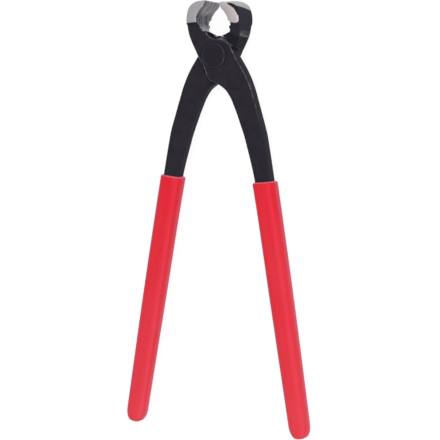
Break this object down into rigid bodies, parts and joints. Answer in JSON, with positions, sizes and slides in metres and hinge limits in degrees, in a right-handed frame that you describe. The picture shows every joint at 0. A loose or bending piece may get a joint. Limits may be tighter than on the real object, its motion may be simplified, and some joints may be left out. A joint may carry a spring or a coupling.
{
  "type": "rebar tying pliers",
  "caption": "Rebar tying pliers: forged claw jaws that twist and cut tie wire, levers crossed on a riveted lap joint, plastic sleeves dipped on long bowed handles.",
  "frame": {"origin": "centre of the rivet's rear face, on the pivot axis", "axes": "+Y along the tool's length towards the jaws, +Z along the pivot out of the front face, +X to the right seen from the front"},
  "size_m": [0.1178, 0.2504, 0.019],
  "materials": {
    "blackened_steel": "satin",
    "rivet_steel": "satin",
    "grip_plastic": "satin"
  },
  "bodies": {
    "front": {"front_lever": "blackened_steel", "front_grip": "grip_plastic", "rivet": "rivet_steel"},
    "rear": {"rear_lever": "blackened_steel", "rear_grip": "grip_plastic"}
  },
  "joints": [
    {"name": "pivot", "type": "hinge", "parent": "front", "child": "rear", "pos_m": [0, 0, 0.008], "axis": [0, 0, -1], "range_deg": [-16.8, 15]}
  ]
}
